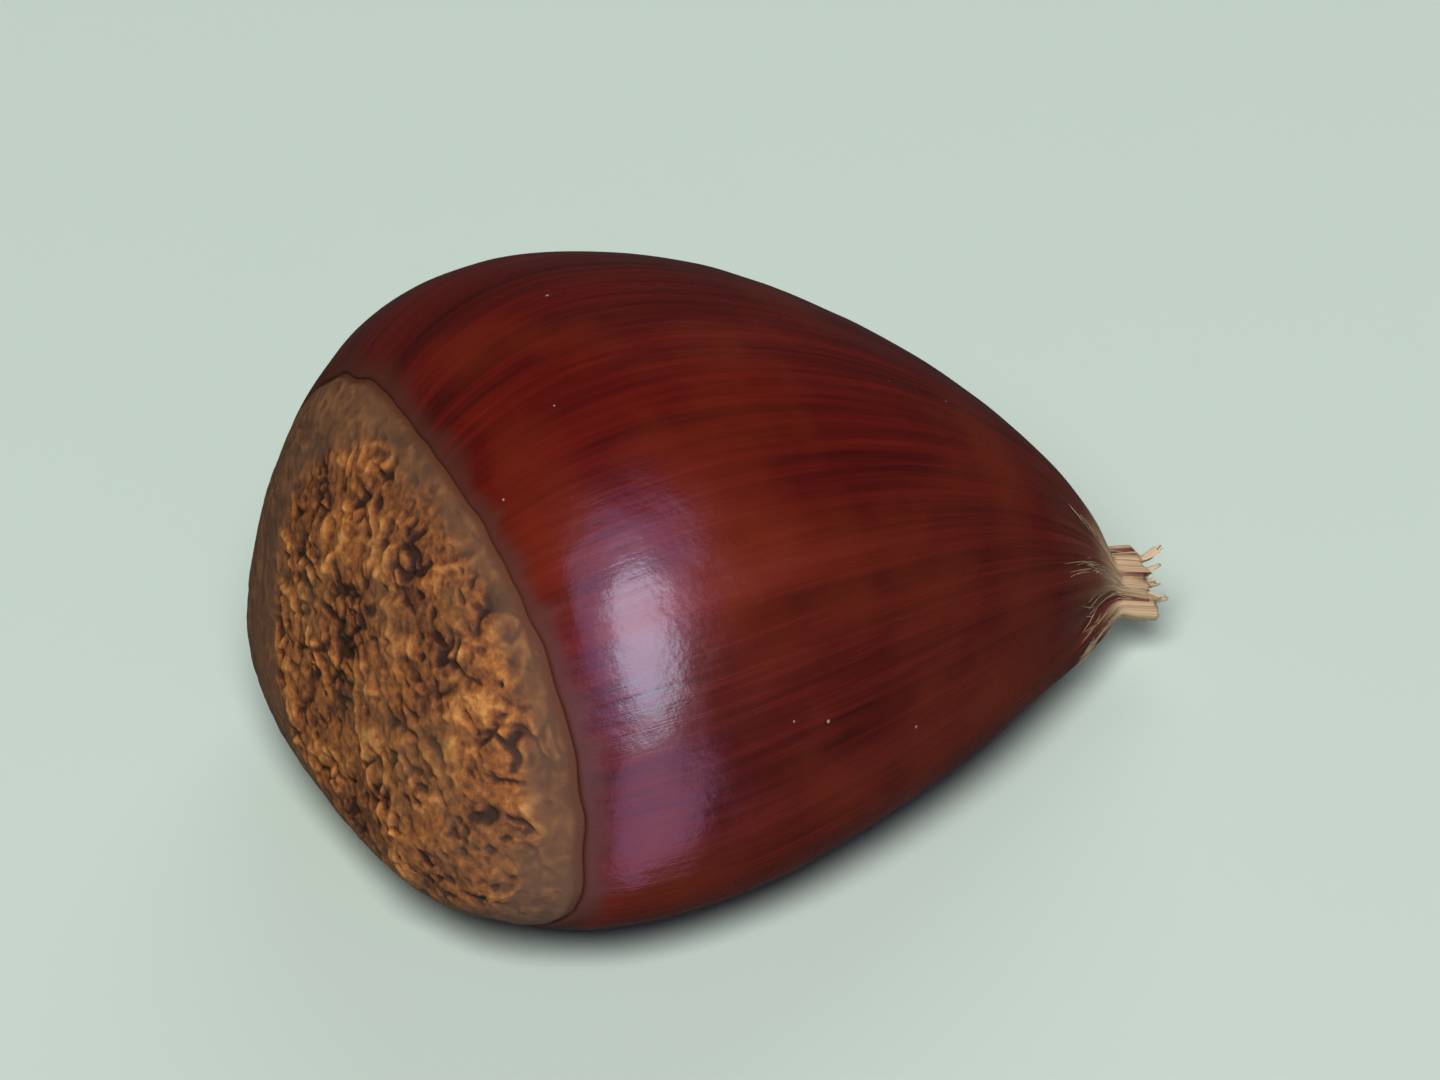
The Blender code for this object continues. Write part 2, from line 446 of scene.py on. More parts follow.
    def neck_end(self) -> np.ndarray:
        """Middle of the neck's end."""
        return self.axis(self.nut_length)


@dataclass(frozen=True)
class ShellFinish:
    """Waxy chestnut pericarp, grown smooth: deep red brown, fine lines from base to tip and a soft gloss."""

    dark: str = "#380A08"
    middle: str = "#520E08"
    bright: str = "#66150B"
    orange: str = "#70260F"
    rim: str = "#4C281A"
    dusty: str = "#6E4231"
    silk: str = "#C9AE8A"
    silk_shade: str = "#8A6B4C"
    # Painted shade: the cup at the end of the neck is coloured near black where shade falls in it
    cup_shade: str = "#1E120B"
    dust: str = "#9C8D80"

    def material(self) -> bpy.types.Material:
        """The shell's material, which reads the meridian, rim, silk and hollow kept with its corners.

        Returns:
            The material.
        """
        material, tree, shader = blank_material("waxy_chestnut_shell")
        meridian, rim, silk, cup_shade = (add_node(tree, "ShaderNodeAttribute", {"attribute_name": name})
                                       for name in ("meridian", "rim", "silk", "cup_shade"))
        place = add_node(tree, "ShaderNodeTexCoord")
        # Lines about 1.5 mm apart round the widest part, drawn out along the nut
        broad_map = add_node(tree, "ShaderNodeMapping", {"Scale": (8, 8, 1.3)},
                             {"Vector": meridian.outputs["Vector"]})
        broad = add_node(tree, "ShaderNodeTexNoise", {"Scale": 1.0, "Detail": 4.0, "Roughness": 0.6},
                         {"Vector": broad_map.outputs[0]})
        # Fibre lines about 0.3 mm apart
        fine_map = add_node(tree, "ShaderNodeMapping", {"Scale": (42, 42, 3.0)},
                            {"Vector": meridian.outputs["Vector"]})
        fine = add_node(tree, "ShaderNodeTexNoise", {"Scale": 1.0, "Detail": 3.0, "Roughness": 0.65},
                        {"Vector": fine_map.outputs[0]})
        lines = add_node(tree, "ShaderNodeMix", {"data_type": "FLOAT", 0: 0.5},
                         {2: broad.outputs[0], 3: fine.outputs[0]})
        brown = add_node(tree, "ShaderNodeValToRGB",
                         {"stops": ((0.36, self.dark), (0.5, self.middle), (0.68, self.bright))},
                         {"Fac": lines.outputs[0]})
        # Warm clouds about 7 mm across, more of them on the side at -Y
        cloud = add_node(tree, "ShaderNodeTexNoise",
                         {"noise_dimensions": "4D", "W": 2.0, "Scale": 150.0, "Detail": 3.0},
                         {"Vector": place.outputs["Object"]})
        turned = add_node(tree, "ShaderNodeSeparateXYZ", {}, {0: meridian.outputs["Vector"]})
        sided = add_node(tree, "ShaderNodeMath", {"operation": "MULTIPLY_ADD", 1: -0.14},
                         {0: turned.outputs[0], 2: cloud.outputs[0]})
        warmth = add_node(tree, "ShaderNodeMapRange", {"From Min": 0.52, "From Max": 0.8, "To Max": 0.75},
                          {"Value": sided.outputs[0]})
        # The bloom over the last 5 mm before the tip comes and goes with the fibre lines
        near_tip = add_node(tree, "ShaderNodeMapRange", {"From Min": 0.84, "From Max": 0.97},
                            {"Value": turned.outputs[2]})
        streaks = add_node(tree, "ShaderNodeMapRange", {"From Min": 0.38, "From Max": 0.62, "To Min": 0.3},
                           {"Value": fine.outputs[0]})
        bloom = add_node(tree, "ShaderNodeMath", {"operation": "MULTIPLY"},
                         {0: near_tip.outputs[0], 1: streaks.outputs[0]})
        threads = add_node(tree, "ShaderNodeMapRange", {"From Min": 0.36, "From Max": 0.6},
                           {"Value": fine.outputs[0]})
        fibres = add_node(tree, "ShaderNodeMix", {"data_type": "RGBA", 6: self.silk_shade, 7: self.silk},
                          {0: threads.outputs[0]})
        # Specks of dust up to about 0.17 mm across, one or two to the square centimetre
        cells = add_node(tree, "ShaderNodeTexVoronoi", {"Scale": 700.0}, {"Vector": place.outputs["Object"]})
        pick = add_node(tree, "ShaderNodeSeparateXYZ", {}, {0: cells.outputs["Color"]})
        grain = add_node(tree, "ShaderNodeMath", {"operation": "MULTIPLY", 1: 0.06}, {0: pick.outputs[1]})
        near = add_node(tree, "ShaderNodeMath", {"operation": "LESS_THAN"},
                        {0: cells.outputs["Distance"], 1: grain.outputs[0]})
        few = add_node(tree, "ShaderNodeMath", {"operation": "GREATER_THAN", 1: 0.5}, {0: pick.outputs[0]})
        speck = add_node(tree, "ShaderNodeMath", {"operation": "MULTIPLY"},
                         {0: near.outputs[0], 1: few.outputs[0]})
        # Each layer covers those before it
        # The layer that darkens the cup at the neck's end is painted shade
        layers = ((warmth.outputs[0], self.orange), (rim.outputs["Fac"], self.rim),
                  (bloom.outputs[0], self.dusty), (silk.outputs["Fac"], fibres.outputs[2]),
                  (cup_shade.outputs["Fac"], self.cup_shade), (speck.outputs[0], self.dust))
        colour = brown.outputs[0]
        for share, layer in layers:
            over = add_node(tree, "ShaderNodeMix", {"data_type": "RGBA", 0: share, 6: colour, 7: layer})
            colour = over.outputs[2]
        tree.links.new(colour, shader.inputs["Base Color"])
        # Matt where it is rimmed, dusty, silky or specked
        dull = rim.outputs["Fac"]
        for share in (bloom.outputs[0], silk.outputs["Fac"], speck.outputs[0]):
            duller = add_node(tree, "ShaderNodeMath",
                              {"operation": "MAXIMUM", "use_clamp": True, 0: dull, 1: share})
            dull = duller.outputs[0]
        wax = add_node(tree, "ShaderNodeMapRange",
                       {"From Min": 0.35, "From Max": 0.7, "To Min": 0.22, "To Max": 0.34},
                       {"Value": lines.outputs[0]})
        rough = add_node(tree, "ShaderNodeMix", {"data_type": "FLOAT", 3: 0.75}, {0: dull, 2: wax.outputs[0]})
        tree.links.new(rough.outputs[0], shader.inputs["Roughness"])
        coat = add_node(tree, "ShaderNodeMapRange", {"To Min": 0.25, "To Max": 0.0}, {"Value": dull})
        tree.links.new(coat.outputs[0], shader.inputs["Coat Weight"])
        shader.inputs["Coat Roughness"].default_value = 0.16
        shader.inputs["IOR"].default_value = 1.45
        # Wrinkles about 1 mm apart break the highlight up, and the fibre lines lie over them
        skin = add_node(tree, "ShaderNodeTexNoise", {"Scale": 900.0, "Detail": 4.0, "Roughness": 0.6},
                        {"Vector": place.outputs["Object"]})
        first = add_node(tree, "ShaderNodeBump", {"Strength": 0.7, "Distance": 0.045 * MM},
                         {"Height": skin.outputs[0]})
        second = add_node(tree, "ShaderNodeBump", {"Strength": 0.6, "Distance": 0.02 * MM},
                          {"Height": fine.outputs[0], "Normal": first.outputs[0]})
        for name in ("Normal", "Coat Normal"):
            tree.links.new(second.outputs[0], shader.inputs[name])
        return material


@dataclass(frozen=True)
class ScarFinish:
    """Corky tissue of the base scar, torn from the husk: pale dry crests, brown creases and dark pits: the
    tissue's own colours, with painted shade in the pits and creases and painted highlight on the crests.
    """

    pit: str = "#352010"
    crease: str = "#5A331A"
    body: str = "#945928"
    crest: str = "#CC8E4A"
    grey: str = "#765A3A"
    # The smooth strip round the margin is real, but its colour is darkened as painted shade
    band_and_shade: str = "#63452F"

    def material(self) -> bpy.types.Material:
        """The scar's material, which reads the height, band and rim kept with its corners.

        Returns:
            The material.
        """
        material, tree, shader = blank_material("corky_base_scar")
        height, band_and_shade, rim = (add_node(tree, "ShaderNodeAttribute", {"attribute_name": name})
                             for name in ("height", "band_and_shade", "rim"))
        place = add_node(tree, "ShaderNodeTexCoord")
        # Crumbs about 0.3 mm across, in the colour and in the relief
        crumb = add_node(tree, "ShaderNodeTexNoise", {"Scale": 3000.0, "Detail": 4.0, "Roughness": 0.7},
                         {"Vector": place.outputs["Object"]})
        crumbs = add_node(tree, "ShaderNodeMapRange",
                          {"From Min": 0.3, "From Max": 0.7, "To Min": -0.16, "To Max": 0.16},
                          {"Value": crumb.outputs[0]})
        level = add_node(tree, "ShaderNodeMath", {"operation": "ADD"},
                         {0: height.outputs["Fac"], 1: crumbs.outputs[0]})
        # The ramp paints shade and highlight over the cork's own colour: pits and cracks go dark, raised
        # crests go pale
        cork_tones_and_shade = ((0.08, self.pit), (0.3, self.crease), (0.58, self.body), (0.9, self.crest))
        cork = add_node(tree, "ShaderNodeValToRGB", {"stops": cork_tones_and_shade}, {"Fac": level.outputs[0]})
        # Grey stains about 4 mm across
        stain = add_node(tree, "ShaderNodeTexNoise", {"Scale": 260.0, "Detail": 3.0},
                         {"Vector": place.outputs["Object"]})
        greying = add_node(tree, "ShaderNodeMapRange", {"From Min": 0.48, "From Max": 0.72, "To Max": 0.35},
                           {"Value": stain.outputs[0]})
        # The smooth strip is painted darker than the cork, partly as shade
        band_and_shade_share = add_node(tree, "ShaderNodeMapRange", {"To Max": 0.75}, {"Value": band_and_shade.outputs["Fac"]})
        # Each layer covers those before it
        colour = cork.outputs[0]
        for share, layer in ((greying.outputs[0], self.grey), (band_and_shade_share.outputs[0], self.band_and_shade),
                             (rim.outputs["Fac"], self.crease)):
            over = add_node(tree, "ShaderNodeMix", {"data_type": "RGBA", 0: share, 6: colour, 7: layer})
            colour = over.outputs[2]
        tree.links.new(colour, shader.inputs["Base Color"])
        shader.inputs["Roughness"].default_value = 0.88
        shader.inputs["IOR"].default_value = 1.45
        bump = add_node(tree, "ShaderNodeBump", {"Strength": 0.8, "Distance": 0.06 * MM},
                        {"Height": crumb.outputs[0]})
        tree.links.new(bump.outputs[0], shader.inputs["Normal"])
        return material


@dataclass(frozen=True)
class DriedFinish:
    """Dry plant fibre, brown where it is thick and straw pale where it is thin, with no gloss."""

    name: str
    dark: str
    pale: str
    roughness: float

    def material(self) -> bpy.types.Material:
        """The fibre's material, which reads the share of its length kept with its corners.

        Returns:
            The material.
        """
        material, tree, shader = blank_material(self.name)
        share = add_node(tree, "ShaderNodeAttribute", {"attribute_name": "share"})
        place = add_node(tree, "ShaderNodeTexCoord")
        # Flecks about 0.4 mm across
        fleck = add_node(tree, "ShaderNodeTexNoise", {"Scale": 2500.0, "Detail": 3.0},
                         {"Vector": place.outputs["Object"]})
        mixed = add_node(tree, "ShaderNodeMath", {"operation": "ADD"},
                         {0: share.outputs["Fac"], 1: fleck.outputs[0]})
        tone = add_node(tree, "ShaderNodeMapRange", {"From Min": 0.45, "From Max": 1.25},
                        {"Value": mixed.outputs[0]})
        colour = add_node(tree, "ShaderNodeMix", {"data_type": "RGBA", 6: self.dark, 7: self.pale},
                          {0: tone.outputs[0]})
        tree.links.new(colour.outputs[2], shader.inputs["Base Color"])
        shader.inputs["Roughness"].default_value = self.roughness
        return material


@dataclass
class Shell:
    """The glossy shell from the scar's margin to the cup at the end of the neck.

    What runs from one place to another does so in shares of the nut's length, but the rim in millimetres.
    """

    form: NutForm
    finish: ShellFinish = ShellFinish()
    around: int = 320
    ring_cuts: tuple[int, int] = (9, 16)
    lip: float = 0.16 * MM
    tuck: float = 0.9 * MM
    tuck_width: float = 0.93
    ridge_height: float = 0.03 * MM
    ridges_around: float = 7.0
    line_height: float = 0.008 * MM
    lines_around: float = 24.0
    dent_depth: float = 0.07 * MM
    dent_size: float = 6.0 * MM
    dimple_depth: float = 0.03 * MM
    dimple_size: float = 1.8 * MM
    fold_height: float = 0.11 * MM
    folds_around: float = 5.0
    cup_depth: float = 0.55 * MM
    gathers: tuple[float, float] = (0.8, 0.93)
    silk_runs: tuple[float, float] = (0.915, 0.97)
    flare: float = 0.34 * MM
    flare_runs: tuple[float, float] = (0.95, 1.0)
    tear: float = 0.5 * MM
    tear_runs: tuple[float, float] = (0.975, 1.0)
    tears_around: float = 2.6
    rim_runs: tuple[float, float] = (0.2 * MM, 1.3 * MM)

    @property
    def rings(self) -> int:
        """Number of lengths that the cuts leave along the tube."""
        return (self.ring_cuts[0] + 1) * (self.ring_cuts[1] + 1)

    def stations(self, angle: np.ndarray) -> tuple[np.ndarray, np.ndarray]:
        """Spread the rings along the nut, closer together at both ends.

        Args:
            angle: The angles of the lines that run along the nut.

        Returns:
            Each ring's station on each line, and how far that is from the scar's margin over the surface.
        """
        share = np.linspace(0, 1, 500)[:, None]
        eased = 0.4 * share + 0.3 * (1 - np.cos(math.pi * share))
        margin = self.form.scar_margin(angle)[None, :]
        station = margin + (self.form.nut_length - margin) * eased
        points = self.form.section(station, np.broadcast_to(angle, station.shape))
        steps = np.linalg.norm(np.diff(points, axis=0), axis=-1)
        arc = np.concatenate([np.zeros((1, len(angle))), np.cumsum(steps, axis=0)])
        ring = np.linspace(0, 1, self.rings)
        spacing = 1 - 0.85 * np.exp(-ring / 0.03) - 0.5 * np.exp(-(1 - ring) / 0.08)
        spread = np.concatenate([[0], np.cumsum(spacing)]) / spacing.sum()
        wanted = spread[:, None] * arc[-1][None, :]
        found = [np.interp(wanted[:, a], arc[:, a], station[:, a]) for a in range(len(angle))]
        return np.stack(found, axis=1), wanted

    def surface(self) -> tuple[np.ndarray, dict[str, np.ndarray]]:
        """Lay the shell's points out, ring by ring.

        Returns:
            Their coordinates, and what the material reads there by its name.
        """
        angle = 2 * math.pi * np.arange(self.around) / self.around
        station, arc = self.stations(angle)
        turn = np.broadcast_to(angle, station.shape)
        share = station / self.form.nut_length
        body = smooth_step(0, 2.0 * MM, arc) * (1 - smooth_step(0.7, 1, share))
        pleat = self.form.pleats(station, turn)
        raised = self.form.flutes(station, turn) * body + self.form.pleat_depth * pleat
        points = self.form.section(station, turn, raised)
        along = np.gradient(points, axis=0)
        around = np.roll(points, -1, axis=1) - np.roll(points, 1, axis=1)
        outwards = unit(np.cross(around, along))
        meridian = np.stack([np.cos(turn), np.sin(turn), share], axis=-1)
        ridges = perlin(meridian * (self.ridges_around, self.ridges_around, 2.0))
        lines = perlin(meridian * (self.lines_around, self.lines_around, 4.0))
        dents = self.dent_depth * perlin(points / self.dent_size)
        dents = dents + self.dimple_depth * perlin(points / self.dimple_size + 11)
        curl = self.lip - np.sqrt(np.clip(self.lip**2 - np.clip(self.lip - arc, 0, None) ** 2, 0, None))
        folds = 1 - 9 * perlin(meridian * (self.folds_around, self.folds_around, 5.0) + 3) ** 2
        gathered = smooth_step(*self.gathers, share) * (1 - 0.5 * smooth_step(0.945, 0.965, share))
        height = body * (ridges * self.ridge_height + lines * self.line_height + dents) - curl
        height = height + gathered * self.fold_height * folds
        tears = perlin(meridian * (self.tears_around, self.tears_around, 3.0) + 23)
        height = height + self.flare * smooth_step(*self.flare_runs, share) * (0.45 + tears)
        points = points + outwards * height[..., None]
        points[..., 0] += self.tear * smooth_step(*self.tear_runs, share) * tears
        points[..., 2] = np.maximum(points[..., 2], 0)
        crest = np.clip(0.5 + 0.3 * pleat + 0.45 * folds + 0.4 * lines, 0, 1)
        silk = smooth_step(*self.silk_runs, share) * smooth_step(0.22, 0.7, crest)
        rim = 1 - smooth_step(*self.rim_runs, arc * (1 + 0.5 * lines))
        return points, {"meridian": meridian, "rim": 0.75 * rim, "silk": silk}

    def build(self) -> bpy.types.Object:
        """Draw an open tube, cut it in rings, wrap it round the form and close its two ends.

        Returns:
            The shell.
        """
        deselect_all()
        bpy.ops.mesh.primitive_cylinder_add(vertices=self.around, radius=1, depth=1, end_fill_type="NOTHING",
                                            location=(0, 0, 0))
        piece = bpy.context.object
        for cuts in self.ring_cuts:
            self.cut_rings(piece, cuts)
        flat = corner_places(piece)
        ring = np.rint((flat[:, 2] + 0.5) * self.rings).astype(int)
        turned = np.arctan2(flat[:, 1], flat[:, 0]) / (2 * math.pi)
        line = np.rint(turned * self.around).astype(int) % self.around
        points, kept = self.surface()
        move_corners(piece, points[ring, line])
        for name, values in kept.items():
            note(piece, name, values[ring, line])
        self.close_base(piece, np.flatnonzero(ring == 0))
        self.close_neck(piece, np.flatnonzero(ring == self.rings))
        note(piece, "cup_shade", self.cup_shade(corner_places(piece)))
        return piece

    def cut_rings(self, piece: bpy.types.Object, cuts: int) -> None:
        """Cut every edge that runs along the tube into equal lengths.

        Args:
            piece: The tube, which stands upright.
            cuts: How many cuts each edge gets.
        """
        with editing(piece):
            bpy.ops.mesh.select_mode(type="EDGE")
            bpy.ops.mesh.select_all(action="DESELECT")
        mesh = piece.data
        for edge in mesh.edges:
            low, high = sorted(mesh.vertices[corner].co.z for corner in edge.vertices)
            edge.select = high - low > 0.001
        bpy.ops.object.mode_set(mode="EDIT")
        bpy.ops.mesh.subdivide(number_cuts=cuts)
        bpy.ops.object.mode_set(mode="OBJECT")

    def cup_shade(self, places: np.ndarray) -> np.ndarray:
        """How much painted shade the cup gets at each corner.

        Args:
            places: The corners' coordinates.

        Returns:
            1 for those inside it, and 0 for those on the neck.
        """
        apart = places - self.form.neck_end()
        out = np.linalg.norm(apart[:, 1:], axis=1) / self.form.neck_radius
        return (1 - smooth_step(0.5, 0.8, out)) * (apart[:, 0] > -2 * MM)

    def close_base(self, piece: bpy.types.Object, rim: np.ndarray) -> None:
        """Turn the shell's edge in under the scar, and close it there.

        Args:
            piece: The open shell.
            rim: Numbers of the corners on its edge.
        """
        under = self.form.scar_margin(np.array([1.5 * math.pi]))
        middle = self.form.section(under, np.array([0.5 * math.pi]))[0]
        with editing(piece, rim):
            bpy.ops.mesh.extrude_region_move(TRANSFORM_OT_translate={"value": (self.tuck, 0, 0)})
            bpy.ops.transform.resize(value=(1, self.tuck_width, self.tuck_width),
                                     center_override=(middle[0], middle[1], self.form.place[2]))
            bpy.ops.mesh.extrude_region_move()
            bpy.ops.mesh.merge(type="CENTER")

    def close_neck(self, piece: bpy.types.Object, rim: np.ndarray) -> None:
        """Turn the end of the neck in to a shallow cup, and close it.

        Args:
            piece: The open shell.
            rim: Numbers of the corners at the end of its neck.
        """
        end = self.form.neck_end()
        lip, wall, floor = (0.85, 0.12 * MM), (0.75, -0.2 * MM), (0.7, 0.08 * MM - self.cup_depth)
        with editing(piece, rim):
            for width, step in (lip, wall, floor):
                bpy.ops.mesh.extrude_region_move(TRANSFORM_OT_translate={"value": (step, 0, 0)})
                bpy.ops.transform.resize(value=(1, width, width), center_override=tuple(end))
            bpy.ops.mesh.extrude_region_move()
            bpy.ops.mesh.merge(type="CENTER")

    def make(self) -> None:
        """Build and dress the shell."""
        finish_piece(self.build(), "shell", self.finish.material())


@dataclass
class Scar:
    """The rough scar at the base: a plate whose edge dips in under the shell's lip."""

    form: NutForm
    finish: ScarFinish = ScarFinish()
    grid: int = 290
    raised: float = 0.15 * MM
    granule: float = 1.9 * MM
    granule_crease: float = 0.35
    granule_height: float = 0.12 * MM
    lump: float = 5.0 * MM
    lump_height: float = 0.22 * MM
    band_from: float = 0.9
    band_to: float = 0.975
    band_wider: tuple[tuple[float, float], ...] = ((0.62, math.radians(340)), (0.2, math.radians(250)))
    worm: float = 1.15 * MM
    worm_height: float = 0.12 * MM
    crumb: float = 0.42 * MM
    crumb_height: float = 0.075 * MM
    crack: float = 1.2 * MM
    crack_depth: float = 0.16 * MM
    pit: float = 0.85 * MM
    pit_depth: float = 0.16 * MM
    sway: float = 0.5 * MM
    sway_size: float = 1.5 * MM
    worm_patch: float = 2.6 * MM
    crack_patch: float = 2.2 * MM
    dip: float = 0.18 * MM
    tuck: float = 0.5 * MM
    tuck_width: float = 0.95

    def relief_at(self, points: np.ndarray) -> tuple[np.ndarray, np.ndarray]:
        """Height of the scar's relief.

        Args:
            points: Places on the smooth scar, from its middle.

        Returns:
            The height over the smooth scar, and how far up it is from the deepest pit, from 0 to 1, as a tone
            that paints shade into the pits and cracks and highlight onto the crests.
        """
        flat = points[..., (1, 2, 0)] * (1, 1, 0)
        granules = smooth_step(0, self.granule_crease, cell_gap(flat / self.granule))
        lumps = perlin(flat / self.lump)
        aside = np.stack([perlin(points / self.sway_size + shift) for shift in (0, 7, 19)], axis=-1)
        bent = points + self.sway * aside
        # Ridges that wind like worms, and come and go in patches, as the cracks do
        worms = 1 - smooth_step(0.03, 0.34, np.abs(perlin(bent / self.worm)))
        worms = worms * smooth_step(-0.35, 0.25, perlin(points / self.worm_patch + 71))
        crumbs = 0.65 * perlin(points / self.crumb) + 0.5 * perlin(points / (0.55 * self.crumb) + 17)
        cracks = 1 - smooth_step(0.03, 0.2, cell_gap(bent / self.crack + 31))
        cracks = cracks * smooth_step(0.0, 0.35, perlin(points / self.crack_patch + 53))
        # Short pits that lie this way and that, with the wander of the tissue
        pits = smooth_step(0.22, 0.5, perlin(bent * (1.0, 0.62, 1.0) / (0.5 * self.pit) + 5))
        shaded_holes = np.clip(cracks + 0.85 * pits * (1 - 0.6 * worms), 0, 1)
        height = (self.granule_height * (granules - 0.5) + self.lump_height * lumps
                  + self.worm_height * (worms - 0.4) + self.crumb_height * crumbs
                  - self.crack_depth * cracks - self.pit_depth * pits)
        # The tone is partly painted shade and highlight: it drops where cracks and pits sink in and rises on
        # worms, granules and lumps
        tone = 0.46 + 0.1 * granules + 0.28 * (worms - 0.3) + 0.26 * crumbs + 0.12 * lumps - 0.56 * shaded_holes
        return height, np.clip(tone, 0, 1)

    def build(self) -> bpy.types.Object:
        """Draw a square grid, wrap it over the base, raise its relief and close it underneath.

        Returns:
            The scar.
        """
        deselect_all()
        bpy.ops.mesh.primitive_grid_add(x_subdivisions=self.grid, y_subdivisions=self.grid, size=2,
                                        location=(0, 0, 0))
        piece = bpy.context.object
        flat = corner_places(piece)
        column, row = (np.rint((flat[:, axis] + 1) * self.grid / 2).astype(int) for axis in (0, 1))
        steps = np.linspace(-1, 1, self.grid + 1)
        u, v = np.meshgrid(steps, steps, indexing="ij")
        distance, angle = self.unrolled(u, v)
        station = self.form.scar_margin(angle) * distance ** (1 / self.form.base_power)
        smooth = self.form.section(station, angle)
        outwards = unit(np.cross(np.gradient(smooth, axis=1), np.gradient(smooth, axis=0)))
        height, tone = self.relief_at(smooth - self.form.place)
        wider = sum(share * (0.5 + 0.5 * np.cos(angle - turn)) ** 2 for share, turn in self.band_wider)
        reach = distance + 0.05 * perlin(smooth / (2.5 * MM)) + wider
        rugged = 1 - smooth_step(self.band_from, self.band_to, reach)
        fade = rugged + (1 - rugged) * 0.18 * (1 - smooth_step(0.93, 0.985, distance))
        dip = self.dip * smooth_step(0.972, 1.0, distance)
        standing = self.raised * (1 - smooth_step(0.8, 0.97, distance))
        points = smooth + outwards * (standing + fade * height - dip)[..., None]
        points[..., 2] = np.maximum(points[..., 2], 0.05 * MM)
        move_corners(piece, points[column, row])
        # The tone, with its painted shade and highlight, is kept under the name height
        note(piece, "height", tone[column, row])
        note(piece, "band_and_shade", (1 - rugged)[column, row])
        note(piece, "rim", smooth_step(0.965, 0.99, distance)[column, row])
        self.close_under(piece, np.flatnonzero((np.abs(flat[:, :2]) > 1 - 1 / self.grid).any(axis=1)))
        return piece

    def unrolled(self, u: np.ndarray, v: np.ndarray) -> tuple[np.ndarray, np.ndarray]:
        """Distance from the middle, and angle, of points of the square on which the scar is laid out flat."""
        across, up = u * np.sqrt(1 - v**2 / 2), v * np.sqrt(1 - u**2 / 2)
        return np.hypot(across, up), np.arctan2(up, across)

    def close_under(self, piece: bpy.types.Object, edge: np.ndarray) -> None:
        """Close the plate inside the shell.

        Args:
            piece: The open plate.
            edge: Numbers of the corners on its edge.
        """
        with editing(piece, edge):
            bpy.ops.mesh.extrude_region_move(TRANSFORM_OT_translate={"value": (self.tuck, 0, 0)})
            bpy.ops.transform.resize(value=(1, self.tuck_width, self.tuck_width),
                                     center_override=tuple(self.form.place))
            bpy.ops.mesh.extrude_region_move()
            bpy.ops.mesh.merge(type="CENTER")
            bpy.ops.mesh.select_all(action="SELECT")
            bpy.ops.mesh.normals_make_consistent(inside=False)

    def make(self) -> None:
        """Build and dress the scar."""
        finish_piece(self.build(), "scar", self.finish.material())


